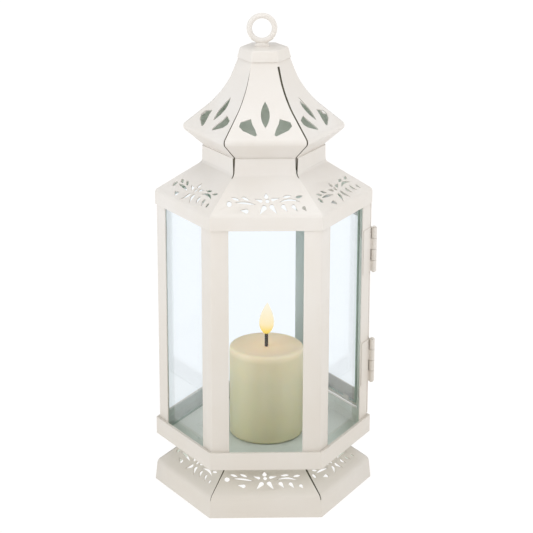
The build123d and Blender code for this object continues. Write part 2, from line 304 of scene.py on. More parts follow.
def makeCream(name, look, shade=1.0):
    paint = Paint(name)
    body = tuple(c * shade for c in look["body"])
    thin = tuple(c * shade for c in look["thin"])
    blotch = paint.noise(look["blotchSize"], 4.0, 0.55)
    fine = paint.noise(look["blotchSize"] * 9, 3.0, 0.6)
    colour = paint.mix(paint.range(blotch, 0.35, 0.68), body, thin)
    # painted shade: the paint darkens towards the foot, standing in for light that falls off lower down
    colour = paint.mix(paint.range(paint.height(), *look["footShadeHeights"]) * look["footShade"], colour, look["grimeAndFootShade"])
    speck = paint.range(paint.noise(look["speckSize"], 2.0, 0.6), 0.68, 0.80) * look["specks"]
    colour = paint.mix(speck, colour, look["grimeAndFootShade"])
    rough = paint.range(fine, 0.3, 0.7, *look["rough"])
    peel = paint.noise(look["peelSize"], 2.0, 0.5)
    dents = paint.noise(look["dentSize"], 2.0, 0.4)
    relief = peel * look["peel"] + dents * look["dents"]
    shader = paint.node("ShaderNodeBsdfPrincipled", {}, {
        "Base Color": colour, "Roughness": rough, "Specular IOR Level": 0.5, "IOR": 1.5,
        "Normal": paint.bump(relief, 0.35, 0.25 * mm)})
    return paint.finish(shader)


# the pan is kept free of the painted foot shade by a range that lies under the floor
# the pan's grey-green is painted shade and glass tint, as on the inner faces
panPaint = {**creamPaint, "body": (0.72, 0.74, 0.67), "thin": (0.78, 0.80, 0.73), "footShadeHeights": (0, -200 * mm)}

# painted shade and glass tint for the inner faces of the sheets
paintedShadeInside = {"tone": (0.70, 0.74, 0.67), "streak": (0.80, 0.83, 0.77)}


def makePaintedShadeInside():
    # the inside of the sheet metal, in a grey-green that is painted shade and glass tint
    paint = Paint("paintedShadeInside")
    streaks = paint.noise(60.0, 5.0, 0.6, paint.coordinates((1, 1, 0.15)))
    colour = paint.mix(paint.range(streaks, 0.35, 0.65), paintedShadeInside["tone"], paintedShadeInside["streak"])
    shader = paint.node("ShaderNodeBsdfPrincipled", {}, {
        "Base Color": colour, "Roughness": paint.range(streaks, 0.3, 0.7, 0.4, 0.6),
        "Normal": paint.bump(paint.noise(700.0), 0.2, 0.1 * mm)})
    return paint.finish(shader)


paneGlass = {
    "tint": (0.972, 0.988, 1.0),
    "gloss": 0.18,
    "edge": (0.34, 0.44, 0.35),
    "paleEdge": (0.42, 0.53, 0.44),
}


def makePaneGlass():
    paint = Paint("paneGlass")
    ripple = paint.noise(22.0, 1.0, 0.4, paint.coordinates((1, 1, 0.4)))
    wave = paint.bump(ripple, 0.08, 0.4 * mm)
    through = paint.node("ShaderNodeBsdfTransparent", {}, {"Color": (*paneGlass["tint"], 1)})
    shine = paint.node("ShaderNodeBsdfGlossy", {}, {"Color": (1, 1, 1, 1), "Roughness": 0.02, "Normal": wave})
    share = paint.node("ShaderNodeFresnel", {}, {"IOR": 1.45, "Normal": wave})
    shader = paint.node("ShaderNodeMixShader", {}, {0: share * paneGlass["gloss"], 1: through, 2: shine})
    return paint.finish(shader)


def makeGlassEdge():
    paint = Paint("glassEdge")
    depth = paint.noise(120.0, 2.0, 0.5)
    colour = paint.mix(paint.range(depth, 0.3, 0.7), paneGlass["edge"], paneGlass["paleEdge"])
    shader = paint.node("ShaderNodeBsdfPrincipled", {}, {
        "Base Color": colour, "Roughness": 0.15, "Coat Weight": 0.3})
    return paint.finish(shader)


# painted shadow for the open seams
seamShade = {"paintedShadow": (0.05, 0.042, 0.026), "paleShadow": (0.16, 0.145, 0.10)}


def makeSeamShadow():
    # painted shadow in the bottom of a seam, in darker and paler patches
    paint = Paint("seam")
    patch = paint.noise(130.0, 3.0, 0.6)
    colour = paint.mix(paint.range(patch, 0.35, 0.75), seamShade["paintedShadow"], seamShade["paleShadow"])
    shader = paint.node("ShaderNodeBsdfPrincipled", {}, {
        "Base Color": colour, "Roughness": 0.8, "Normal": paint.bump(patch, 0.3, 0.1 * mm)})
    return paint.finish(shader)


candleWax = {
    "foot": (0.72, 0.645, 0.40),
    "body": (0.70, 0.62, 0.40),
    "top": (0.95, 0.80, 0.58),
    "footToBody": (46 * mm, 8 * mm),  # depths under the candle's top
    "bodyToTop": (4 * mm, 0.4 * mm),
    "bloom": (0.80, 0.74, 0.56),
    "bloomed": 0.2,
    "glow": (1.0, 0.52, 0.26),
    "glowReach": (25 * mm, 3 * mm),  # from the wick: where the glow ends, and where it is full
    "glowPower": 0.24,
    "softness": (4 * mm, 2.5 * mm, 1.2 * mm),
}


def makeWax(top, wickPlace):
    paint = Paint("wax")
    look = candleWax
    height = paint.height()
    mottle = paint.noise(90.0, 4.0, 0.6)
    lower = paint.mix(paint.range(height, *(top - depth for depth in look["footToBody"])),
                      look["foot"], look["body"])
    colour = paint.mix(paint.range(height, *(top - depth for depth in look["bodyToTop"])), lower, look["top"])
    colour = paint.mix(paint.range(mottle, 0.4, 0.75) * look["bloomed"], colour, look["bloom"])
    reach = paint.node("ShaderNodeVectorMath", {"operation": "DISTANCE"},
                       {0: paint.spot(), 1: wickPlace}, out=1)
    lit = paint.mix(paint.range(reach, *look["glowReach"]), (0, 0, 0), look["glow"])
    shader = paint.node("ShaderNodeBsdfPrincipled", {}, {
        "Base Color": colour, "Roughness": paint.range(mottle, 0.3, 0.7, 0.38, 0.55),
        "Emission Color": lit, "Emission Strength": look["glowPower"],
        "Subsurface Weight": 0.35, "Subsurface Radius": look["softness"], "Subsurface Scale": 1.0,
        "Normal": paint.bump(mottle, 0.15, 0.3 * mm)})
    return paint.finish(shader)


wickCotton = {"char": (0.035, 0.032, 0.03), "ash": (0.12, 0.11, 0.10)}


def makeWick():
    paint = Paint("wick")
    strands = paint.node("ShaderNodeTexWave", {"wave_type": "BANDS", "bands_direction": "DIAGONAL"},
                         {"Vector": paint.coordinates(), "Scale": 900.0, "Distortion": 1.0}, out=1)
    colour = paint.mix(strands, wickCotton["char"], wickCotton["ash"])
    shader = paint.node("ShaderNodeBsdfPrincipled", {}, {
        "Base Color": colour, "Roughness": 0.9, "Normal": paint.bump(strands, 0.6, 0.1 * mm)})
    return paint.finish(shader)


flameLight = {
    "base": (0.98, 0.70, 0.15),
    "body": (1.0, 0.83, 0.50),
    "tip": (1.0, 0.92, 0.74),
    "baseEnds": 0.14,  # shares of the flame's height
    "bodyStarts": 0.38,
    "power": 1.05,
    "edge": (0.42, 1.0),  # how far it faces away where it starts to fade, and where it is gone
}


def makeFlame(low, high):
    # bright in the middle and fading out at its edge
    paint = Paint("flame")
    look = flameLight
    stops = [(0.0, look["base"]), (look["baseEnds"], look["base"]), (look["bodyStarts"], look["body"]),
             (1.0, look["tip"])]
    colour = paint.node("ShaderNodeValToRGB", {"stops": [(place, (*tone, 1)) for place, tone in stops]},
                        {0: paint.range(paint.height(), low, high)})
    light = paint.node("ShaderNodeBsdfPrincipled", {}, {
        "Base Color": (0, 0, 0, 1), "Specular IOR Level": 0.0, "Emission Color": colour,
        "Emission Strength": look["power"]})
    clear = paint.node("ShaderNodeBsdfTransparent")
    facing = paint.node("ShaderNodeLayerWeight", {}, {"Blend": 0.5}, out=1)
    fade = paint.range(facing, *look["edge"])
    shader = paint.node("ShaderNodeMixShader", {}, {0: fade, 1: light, 2: clear})
    return paint.finish(shader)


def coat(piece, *names):
    for name in names:
        piece.data.materials.append(paints[name])


def dress(piece, body, slot, *names):
    # gives a piece its body and, if it has none yet, its finish; the slot is not used
    if not piece.data.materials:
        coat(piece, *names)
    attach(piece, body)
    return piece


def thickened(shell, sheet, *names, offset=-1):
    # gives a bent sheet its thickness; the second finish goes on the inner face
    coat(shell, *names)
    applied(shell, "SOLIDIFY", thickness=sheet, offset=offset, use_even_offset=True,
            material_offset=1, material_offset_rim=0)


def ringRadius(flat):
    return flat / math.cos(twelfth)


def bentShell(name, outline, bends):
    # outline runs up the outer face as (flat, height); bends give the radius at each inner point
    flat, height = outline[0]
    bpy.ops.mesh.primitive_circle_add(vertices=6, radius=ringRadius(flat), location=(0, 0, height),
                                      rotation=(0, 0, twelfth))
    shell = settle(begin(name))
    edit(shell)
    chooseAll()
    for (flatA, lowA), (flatB, highB) in zip(outline, outline[1:]):
        bpy.ops.mesh.extrude_edges_move(TRANSFORM_OT_translate={"value": (0, 0, highB - lowA)})
        bpy.ops.transform.resize(value=(flatB / flatA, flatB / flatA, 1), center_override=(0, 0, highB))
    for before, (flat, height), after, bend in zip(outline, outline[1:], outline[2:], bends):
        into = Vector((flat - before[0], height - before[1]))
        away = Vector((after[0] - flat, after[1] - height))
        turn = abs(into.angle_signed(away))
        radius = ringRadius(flat)
        choose(shell, "edges", lambda e: all(
            abs(v.co.z - height) < 0.01 * mm and abs(v.co.xy.length - radius) < 0.05 * mm for v in e.verts))
        wideSweep = bend >= 20 * mm
        steps = 12 if wideSweep else max(3, round(math.degrees(turn) / 6))
        bpy.ops.mesh.bevel(offset=bend * math.tan(turn / 2), offset_type="OFFSET", segments=steps,
                           profile=0.5, affect="EDGES", clamp_overlap=False)
    faceOutwards()
    restAll()
    return shell


def inSeam(face):
    # a cut edge that stands near a corner and faces across it
    reach = 2 * mm
    for corner in range(6):
        angle = sideTurn(corner) + twelfth
        across = Vector((-math.sin(angle), math.cos(angle), 0))
        if abs(middleOf(face).dot(across)) < reach and abs(face.normal.dot(across)) > 0.8:
            return True
    return False


def sheetThick(shell, sheet):
    # a pierced piece's thickness, with painted shadow on the cut edges in its open seams
    thickened(shell, sheet, "cream", "paintedShadeInside", "seam")
    edit(shell)
    choose(shell, "faces", inSeam)
    shell.active_material_index = 2
    bpy.ops.object.material_slot_assign()
    restAll()


def levelCut(shell, height):
    # a level seam right round
    edit(shell)
    chooseAll()
    bpy.ops.mesh.bisect(plane_co=(0, 0, height), plane_no=(0, 0, 1))
    restAll()


def openCorner(shell, corner, low, high, lowGap, highGap, sink=0.0):
    # parts two sides along their shared fold, by a gap that changes evenly with height;
    # with a sink the strip in the gap is kept, set back behind the outer face
    angle = sideTurn(corner) + twelfth
    outward = Vector((math.cos(angle), math.sin(angle), 0))
    across = Vector((-outward.y, outward.x, 0))
    lean = (highGap - lowGap) / 2 / (high - low)
    nearby = math.radians(31)  # a little over half a side
    edit(shell)
    for hand in (1, -1):
        choose(shell, "faces", lambda f: middleOf(f).dot(outward) > 0
               and abs(middleOf(f).xy.angle(outward.xy)) < nearby)
        normal = (across * hand - Vector((0, 0, lean))).normalized()
        place = across * hand * lowGap / 2 + Vector((0, 0, low))
        bpy.ops.mesh.bisect(plane_co=place, plane_no=normal)

    def inGap(face):
        spot = middleOf(face)
        half = lowGap / 2 + lean * (spot.z - low)
        return low < spot.z < high and spot.dot(outward) > 0 and abs(spot.dot(across)) < half

    choose(shell, "faces", inGap)
    if not sink:
        bpy.ops.mesh.delete(type="FACE")
        restAll()
        return None
    bpy.ops.mesh.separate(type="SELECTED")
    bpy.ops.object.mode_set(mode="OBJECT")
    strip = next(piece for piece in bpy.context.selected_objects if piece != shell)
    edit(strip)
    chooseAll()
    bpy.ops.transform.translate(value=-outward * sink)
    restAll()
    return strip


def seamPiece(strips, name, thick):
    # the sunk strips of one shell, made solid and coloured with the painted seam shadow
    seams = joined([strip for strip in strips if strip], name)
    applied(seams, "SOLIDIFY", thickness=thick, offset=-1)
    smooth(seams)
    return dress(seams, "lantern", "cream_paint", "seam")


def foldCorners(shell, low, high, radius):
    # rounds the upright folds that are still closed
    edit(shell)
    choose(shell, "edges", lambda e: low <= middleOf(e).z <= high and len(e.link_faces) == 2
           and e.calc_face_angle() > math.radians(20)
           and abs((e.verts[0].co - e.verts[1].co).normalized().z) > 0.25)
    bpy.ops.mesh.bevel(offset=radius * math.tan(twelfth), offset_type="OFFSET", segments=3, profile=0.5,
                       affect="EDGES", clamp_overlap=True)
    restAll()


def leafOutline(length, width, bow=0.0, steps=7):
    top = []
    low = []
    for i in range(steps + 1):
        x = -1 + 2 * i / steps
        rise = 1 - x * x
        top.append((x * length / 2, rise * (bow + width / 2)))
        if 0 < i < steps:
            low.append((x * length / 2, rise * (bow - width / 2)))
    return [*top, *reversed(low)]


def petalOutline(length, width, steps=7):
    # pointed at the left, round at the right
    middle = length / 2 - width / 2
    outline = [(-length / 2, 0)]
    for i in range(steps + 1):
        angle = math.radians(-90 + 180 * i / steps)
        outline.append((middle + width / 2 * math.cos(angle), width / 2 * math.sin(angle)))
    return outline


def dotOutline(radius, steps=14):
    return [(radius * math.cos(math.tau * i / steps), radius * math.sin(math.tau * i / steps))
            for i in range(steps)]


def placed(outline, along, up, turn=0.0):
    c = math.cos(math.radians(turn))
    s = math.sin(math.radians(turn))
    return [(along + x * c - y * s, up + x * s + y * c) for x, y in outline]


def punchBar(name, outline, slope, size):
    # one punch: a flat outline drawn through the sheet
    bpy.ops.mesh.primitive_circle_add(vertices=len(outline), radius=1, fill_type="NGON")
    punch = begin(name)
    reach = 3 * mm  # to either side of the outer face
    for vertex, (x, y) in zip(punch.data.vertices, outline):
        vertex.co = (x * size * mm, y * size * mm, -reach)
    edit(punch)
    chooseAll()
    bpy.ops.mesh.extrude_region_move(TRANSFORM_OT_translate={"value": (0, 0, 2 * reach)})
    faceOutwards()
    restAll()
    punch.matrix_world = slope
    return settle(punch)


def slopePlace(flat, height, angle):
    # local X runs along the side, local Y up the slope and local Z out of it
    upSlope = Vector((-math.cos(angle), 0, math.sin(angle)))
    out = Vector((math.sin(angle), 0, math.cos(angle)))
    along = Vector((0, 1, 0))
    place = Matrix((along, upSlope, out)).transposed().to_4x4()
    place.translation = (flat, 0, height)
    return place


def pierced(shell, outlines, slope, size):
    # cuts the same holes in all six sides
    punches = [punchBar("punch", outline, slope, size) for outline in outlines]
    punch = joined(punches, "punch")
    around = [turnedCopy(punch, "punches", sideTurn(side)) for side in range(6)]
    bpy.data.objects.remove(punch)
    tool = joined(around, "punches")
    applied(shell, "BOOLEAN", operation="DIFFERENCE", object=tool, solver="EXACT")
    bpy.data.objects.remove(tool)


floral = {
    "leaves": [  # along, up, length, width, turn, bow
        (-16.0, 4.4, 4.3, 1.4, -20, 0.0),
        (-11.0, 4.3, 4.5, 1.4, -25, 0.0),
        (10.0, 4.3, 4.8, 1.3, 6, 0.0),
        (16.0, 3.9, 4.2, 1.4, 10, 0.0),
        (-11.3, 1.9, 11.0, 1.2, -8, 0.35),
        (11.1, 1.4, 11.0, 1.15, -2, 1.3),
    ],
    "petals": [  # along, up, length, width, direction of the round end
        (-4.6, 3.3, 4.3, 1.7, -20),
        (-0.4, 5.1, 2.8, 2.4, -90),
        (4.2, 3.4, 4.7, 1.7, 190),
        (-12.3, -1.4, 4.5, 2.3, -12),
        (-3.0, -1.6, 5.5, 2.5, 49),
        (2.7, -1.5, 5.5, 2.5, 123),
        (8.3, -1.2, 4.3, 2.2, 125),
        (13.5, -1.5, 4.3, 2.0, 127),
        (18.3, -2.0, 2.8, 1.9, 125),
    ],
    "dots": [(-19.5, 2.2, 1.35), (-0.1, 2.6, 1.0)],
}


def floralOutlines(stretch=1.0, along=0.0, turn=0.0):
    # the 17 holes; the drawing can be stretched up the slope, then turned and moved along it
    drawn = [placed(leafOutline(length, width, bow), x, y, angle)
             for x, y, length, width, angle, bow in floral["leaves"]]
    drawn += [placed(petalOutline(length, width), x, y, angle)
              for x, y, length, width, angle in floral["petals"]]
    drawn += [placed(dotOutline(radius), x, y) for x, y, radius in floral["dots"]]
    return [placed([(x, y * stretch) for x, y in outline], along, 0, turn) for outline in drawn]


camera = {
    "place": (-25.6 * mm, -959.8 * mm, 440.0 * mm),
    "aim": (1.45 * mm, 0.0, 117.97 * mm),
    "roll": 0.143,
    "lens": 133.5,
}


def makeCamera():
    data = bpy.data.cameras.new("camera")
    data.lens = camera["lens"]
    data.sensor_width = 36.0
    data.clip_start = 0.01
    eye = bpy.data.objects.new("camera", data)
    bpy.context.scene.collection.objects.link(eye)
    look = Vector(camera["aim"]) - Vector(camera["place"])
    turn = look.to_track_quat("-Z", "Y").to_matrix().to_4x4()
    eye.matrix_world = (Matrix.Translation(camera["place"]) @ turn
                        @ Matrix.Rotation(math.radians(camera["roll"]), 4, "Z"))
    bpy.context.scene.camera = eye


studio = {
    "sky": (0.97, 0.985, 1.0),
    "skyPower": 0.41,
    "suns": [  # name, direction it shines from, strength, softness in degrees, colour
        ("topSoftbox", (0.1, 0.1, 1.0), 1.32, 80, (0.97, 0.985, 1.0)),
        ("leftSoftbox", (-1.0, -0.50, 0.55), 1.24, 50, (0.91, 0.955, 1.0)),
        ("rightSoftbox", (1.0, -0.30, 0.42), 1.02, 60, (0.95, 0.975, 1.0)),
        ("lowSoftbox", (-0.1, -1.0, 0.10), 0.42, 20, (1.0, 0.95, 0.90)),
    ],
    "front": ((0.10, -0.55, 0.56), 0.5, 0.62, (1.0, 0.93, 0.86)),  # place, size, watts, colour
    "aim": (0, 0, 0.13),
    "tableSize": 12,
    "table": [(0.07, 0.07, 0.07), (0.08, 0.08, 0.08)],
    "glow": ((1.0, 0.99, 0.98), 0.95),  # colour, strength
}


def hungLamp(name, kind, place, power, colour):
    # a lamp at a place, turned to the middle of the lantern
    data = bpy.data.lights.new(name, kind)
    data.energy = power
    data.color = colour
    lamp = bpy.data.objects.new(name, data)
    bpy.context.scene.collection.objects.link(lamp)
    lamp.location = place
    lamp.rotation_euler = (Vector(place) - Vector(studio["aim"])).to_track_quat("Z", "Y").to_euler()
    return lamp


def makeSky(tree):
    # soft light all round, with a plain white sheet behind the lantern
    light = tree.nodes["Background"]
    light.inputs[0].default_value = (*studio["sky"], 1)
    light.inputs[1].default_value = studio["skyPower"]
    sheet = tree.nodes.new("ShaderNodeBackground")
    sheet.inputs[0].default_value = (1, 1, 1, 1)
    path = tree.nodes.new("ShaderNodeLightPath")
    either = tree.nodes.new("ShaderNodeMixShader")
    tree.links.new(path.outputs["Is Camera Ray"], either.inputs[0])
    tree.links.new(light.outputs[0], either.inputs[1])
    tree.links.new(sheet.outputs[0], either.inputs[2])
    tree.links.new(either.outputs[0], tree.nodes["World Output"].inputs["Surface"])


def makeStudio():
    scene = bpy.context.scene
    world = bpy.data.worlds.new("studio")
    scene.world = world
    world.use_nodes = True
    makeSky(world.node_tree)
    for name, place, power, soft, colour in studio["suns"]:
        lamp = hungLamp(name, "SUN", place, power, colour)
        lamp.data.angle = math.radians(soft)
    place, size, watts, colour = studio["front"]
    lamp = hungLamp("frontSoftbox", "AREA", place, watts, colour)
    lamp.data.shape = "DISK"
    lamp.data.size = size
    scene.view_settings.view_transform = "Standard"
    restAll()
    bpy.ops.mesh.primitive_plane_add(size=studio["tableSize"], location=(0, 0, 0))
    floor = begin("floor")
    paint = Paint("paleFloor")
    colour = paint.mix(paint.noise(6.0, 2.0, 0.5), *studio["table"])
    glow, power = studio["glow"]
    shader = paint.node("ShaderNodeBsdfPrincipled", {}, {
        "Base Color": colour, "Roughness": 0.8, "Specular IOR Level": 0.1,
        "Emission Color": (*glow, 1), "Emission Strength": power})
    floor.data.materials.append(paint.finish(shader))


cutEdge = 0.10 * mm  # how far the paint rounds a cut edge

# flats are measured from the middle to a side; gaps are each corner's, at the seam's foot and head, in mm
skirt = {
    "footFlat": 49.4 * mm, "lipFlat": 48.4 * mm, "bandHeight": 10.8 * mm, "neckFlat": 35.8 * mm,
    "slope": math.radians(39.5), "flange": 3.0 * mm, "bend": 4.0 * mm, "neckBend": 0.9 * mm, "fold": 0.9 * mm,
    "sheet": 0.6 * mm, "spare": 2.0 * mm,  # drawn on below the foot and cut off level
    "holesInset": 6.3 * mm, "drawnFlat": 42.1, "slitFrom": 9.0 * mm,
    "gaps": [(0.5, 1.3), (0.25, 0.5), (0.25, 0.6), (0.2, 0.5), (0.25, 0.5), (0.2, 1.0)],
    "sink": 0.55 * mm, "seamThick": 0.1 * mm,
}


def makeSkirt():
    low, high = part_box("base_skirt")
    s = skirt
    slopeTop = s["bandHeight"] + (s["lipFlat"] - s["neckFlat"]) * math.tan(s["slope"])
    flare = (s["footFlat"] - s["lipFlat"]) / s["bandHeight"]
    outline = [(s["footFlat"] + s["spare"] * flare, low.z - s["spare"]), (s["lipFlat"], s["bandHeight"]),
               (s["neckFlat"], slopeTop), (s["neckFlat"], high.z), (s["neckFlat"] - s["flange"], high.z)]
    shell = bentShell("baseSkirt", outline, [s["bend"], s["bend"], s["neckBend"]])
    levelCut(shell, s["slitFrom"])
    strips = [openCorner(shell, corner, s["slitFrom"], high.z + 1 * mm, lowGap * mm, highGap * mm, s["sink"])
              for corner, (lowGap, highGap) in enumerate(s["gaps"])]
    foldCorners(shell, -2 * s["spare"], s["slitFrom"], s["fold"])
    sheetThick(shell, s["sheet"])
    edit(shell)
    chooseAll()
    bpy.ops.mesh.bisect(plane_co=(0, 0, low.z), plane_no=(0, 0, 1), clear_inner=True)
    choose(shell, "edges", lambda e: len(e.link_faces) == 1)
    bpy.ops.mesh.bridge_edge_loops()  # the foot stays open inside its wall
    restAll()
    holesFlat = s["lipFlat"] - s["holesInset"]
    holesHeight = s["bandHeight"] + s["holesInset"] * math.tan(s["slope"])
    pierced(shell, floralOutlines(), slopePlace(holesFlat, holesHeight, s["slope"]),
            holesFlat / mm / s["drawnFlat"])
    softEdges(shell, cutEdge, 1, 50)
    seamPiece(strips, "skirtSeams", s["seamThick"])
    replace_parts(dress(shell, "lantern", "cream_paint"), "base_skirt")


shoulder = {
    "flat": 47.7 * mm, "bandHeight": 7.4 * mm, "neckFlat": 26.93 * mm, "slope": math.radians(35.5),
    "bend": 2.5 * mm, "fold": 0.9 * mm, "sheet": 0.6 * mm, "slitBelowNeck": 1.2 * mm,
    "holesInset": 5.0 * mm, "drawnFlat": 44.4, "drawing": {"stretch": 1.35, "along": 1.0, "turn": 3.5},
    "gaps": [(0.4, 2.2), (0.2, 0.6), (0.2, 0.7), (0.2, 0.6), (0.2, 0.7), (0.5, 1.4)],
    "sink": 0.5 * mm, "seamThick": 0.08 * mm, "openAt": 0,  # the corner whose seam is open right through
}


def makeShoulder():
    low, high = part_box("shoulder")
    s = shoulder
    bandTop = low.z + s["bandHeight"]
    neckBase = bandTop + (s["flat"] - s["neckFlat"]) * math.tan(s["slope"])
    outline = [(s["flat"], low.z), (s["flat"], bandTop), (s["neckFlat"], neckBase), (s["neckFlat"], high.z)]
    shell = bentShell("shoulder", outline, [s["bend"], s["bend"]])
    slitFrom = neckBase - s["slitBelowNeck"]
    levelCut(shell, slitFrom)
    strips = [openCorner(shell, corner, slitFrom, high.z + 1 * mm, lowGap * mm, highGap * mm,
                         0 if corner == s["openAt"] else s["sink"])
              for corner, (lowGap, highGap) in enumerate(s["gaps"])]
    foldCorners(shell, low.z - 1 * mm, slitFrom, s["fold"])
    sheetThick(shell, s["sheet"])
    holesFlat = s["flat"] - s["holesInset"]
    holesHeight = bandTop + s["holesInset"] * math.tan(s["slope"])
    pierced(shell, floralOutlines(**s["drawing"]), slopePlace(holesFlat, holesHeight, s["slope"]),
            holesFlat / mm / s["drawnFlat"])
    softEdges(shell, cutEdge, 1, 50)
    seamPiece(strips, "neckSeams", s["seamThick"])
    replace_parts(dress(shell, "lantern", "cream_paint"), "shoulder")


canopy = {
    "topFlat": 9.463 * mm, "kneeFlat": 16.9 * mm, "kneeDrop": 21.6 * mm, "kneeRound": 38.0 * mm,
    "eaveFlat": 36.2 * mm, "slope": math.radians(43), "eaveRound": 2.5 * mm,
    "flangeFlat": 26.33 * mm, "soffit": math.radians(44.2), "flange": 6.5 * mm, "flangeBend": 0.9 * mm,
    "sheet": 0.6 * mm, "closedTop": 7.0 * mm, "topFold": 0.6 * mm,
    "oval": (16.6, 14.9, 4.4),  # middle, length and width, in mm up the slope from the eave
    "tulip": [(7.0, 14.5), (12.1, 12.6), (12.9, 10.1), (11.2, 7.7),
              (5.1, 4.3), (4.2, 5.2), (5.0, 8.2), (6.5, 11.7)],
    "gaps": [(0.55, 1.15), (0.5, 0.3), (0.4, 0.3), (0.4, 0.3), (0.5, 0.3), (0.85, 0.12)],
    "sink": 0.6 * mm, "seamThick": 0.1 * mm,
}


def makeCanopy():
    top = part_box("canopy")[1].z
    s = canopy
    knee = top - s["kneeDrop"]
    eave = knee - (s["eaveFlat"] - s["kneeFlat"]) * math.tan(s["slope"])
    fold = eave - (s["eaveFlat"] - s["flangeFlat"]) * math.tan(s["soffit"])
    foot = fold - s["flange"]
    outline = [(s["flangeFlat"], foot), (s["flangeFlat"], fold), (s["eaveFlat"], eave),
               (s["kneeFlat"], knee), (s["topFlat"], top)]
    shell = bentShell("canopy", outline, [s["flangeBend"], s["eaveRound"], s["kneeRound"]])
    slitTo = top - s["closedTop"]
    levelCut(shell, slitTo)
    strips = [openCorner(shell, corner, foot - 1 * mm, slitTo, lowGap * mm, highGap * mm, s["sink"])
              for corner, (lowGap, highGap) in enumerate(s["gaps"])]
    foldCorners(shell, slitTo, top + 1 * mm, s["topFold"])
    sheetThick(shell, s["sheet"])
    middle, length, width = s["oval"]
    outlines = [placed(leafOutline(length, width, 0, 12), 0, middle, 90), s["tulip"],
                [(-x, y) for x, y in reversed(s["tulip"])]]
    pierced(shell, outlines, slopePlace(s["eaveFlat"], eave, s["slope"]), 1.0)
    softEdges(shell, cutEdge, 1, 50)
    seamPiece(strips, "canopySeams", s["seamThick"])
    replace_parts(dress(shell, "lantern", "cream_paint"), "canopy")


crownCap = {"taper": 1.3 * mm, "bend": 0.9 * mm, "sheet": 0.6 * mm}


def makeCrownCap():
    low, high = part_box("crown_cap")
    s = crownCap
    lip = high.y
    outline = [(lip, low.z), (lip - s["taper"], high.z)]
    shell = bentShell("crownCap", outline, [])
    edit(shell)
    choose(shell, "edges", lambda e: all(v.co.z > high.z - 0.01 * mm for v in e.verts))
    bpy.ops.mesh.edge_face_add()
    choose(shell, "edges", lambda e: len(e.link_faces) == 2)
    bpy.ops.mesh.bevel(offset=s["bend"], offset_type="OFFSET", segments=4, profile=0.5, affect="EDGES")
    faceOutwards()
    restAll()
    thickened(shell, s["sheet"], "cream", "paintedShadeInside")
    softEdges(shell, 0.15 * mm, 2, 50)
    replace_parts(dress(shell, "lantern", "cream_paint"), "crown_cap")


hangingRing = {
    "wire": 2.7 * mm, "flattened": 0.33, "spread": 1.04,  # squashed a little where it was brazed down
    "beadLength": 7.4 * mm, "beadHeight": 4.6 * mm, "beadRise": 0.1,
}


def makeHangingRing():
    low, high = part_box("hanging_ring")
    s = hangingRing
    outside = high.x - low.x
    middle = high.z - outside / 2
    across = (low.x + high.x) / 2
    bpy.ops.mesh.primitive_torus_add(major_radius=(outside - s["wire"]) / 2, minor_radius=s["wire"] / 2,
                                     major_segments=72, minor_segments=24, location=(across, 0, middle),
                                     rotation=(math.radians(90), 0, 0))
    ring = settle(begin("hangingRing"))
    edit(ring)
    choose(ring, "verts", lambda v: v.co.z < middle - outside * s["flattened"])
    bpy.ops.transform.resize(value=(s["spread"], 1.0, 1.0), center_override=(across, 0, middle - outside / 2))
    restAll()
    bpy.ops.mesh.primitive_uv_sphere_add(
        segments=32, ring_count=16, radius=0.5, location=(across, 0, low.z + s["beadHeight"] * s["beadRise"]))
    bead = begin("bead")
    bead.scale = (s["beadLength"], s["wire"], s["beadHeight"])
    settle(bead)
    edit(bead)
    chooseAll()
    bpy.ops.mesh.bisect(plane_co=(0, 0, low.z), plane_no=(0, 0, 1), clear_inner=True, use_fill=True)
    restAll()
    ring = joined([ring, bead], "hangingRing")
    smooth(ring, 60)
    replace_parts(dress(ring, "lantern", "cream_paint", "cream"), "hanging_ring")


# the band stands outside, the hem hangs inside it over the posts, and the lid joins their tops
lowerRail = {
    "hemDepth": 4.2 * mm, "sheet": 0.6 * mm, "postFlat": 47.1 * mm, "fold": 1.0 * mm,
    "lidShare": 0.9,  # of the sheet
}


def makeLowerRail():
    low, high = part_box("lower_rail")
    s = lowerRail
    hemFlat = s["postFlat"] + s["sheet"]
    outline = [(high.y, low.z), (high.y, high.z), (hemFlat, high.z), (hemFlat, high.z - s["hemDepth"])]
    band = bentShell("lowerRail", outline[:2], [])
    hem = bentShell("hem", outline[2:][::-1], [])
    for shell in (band, hem):
        foldCorners(shell, low.z - 1 * mm, high.z + 1 * mm, s["fold"])
        thickened(shell, s["sheet"], "cream", "paintedShadeInside")
    under = high.z - s["sheet"]
    lid = bentShell("fold", [(high.y - s["sheet"] / 2, under), (hemFlat, under)], [])
    coat(lid, "cream")
    applied(lid, "SOLIDIFY", thickness=s["sheet"] * s["lidShare"], offset=1)
    rail = joined([band, hem, lid], "lowerRail")
    softEdges(rail, 0.2 * mm, 3, 50)
    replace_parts(dress(rail, "lantern", "cream_paint"), "lower_rail")


floorPan = {
    "sheet": 0.6 * mm, "pips": 12, "pipRing": 33.0 * mm, "pipRadius": 2.3 * mm, "pipHeight": 0.8 * mm,
    "pipSink": 0.05 * mm,
}


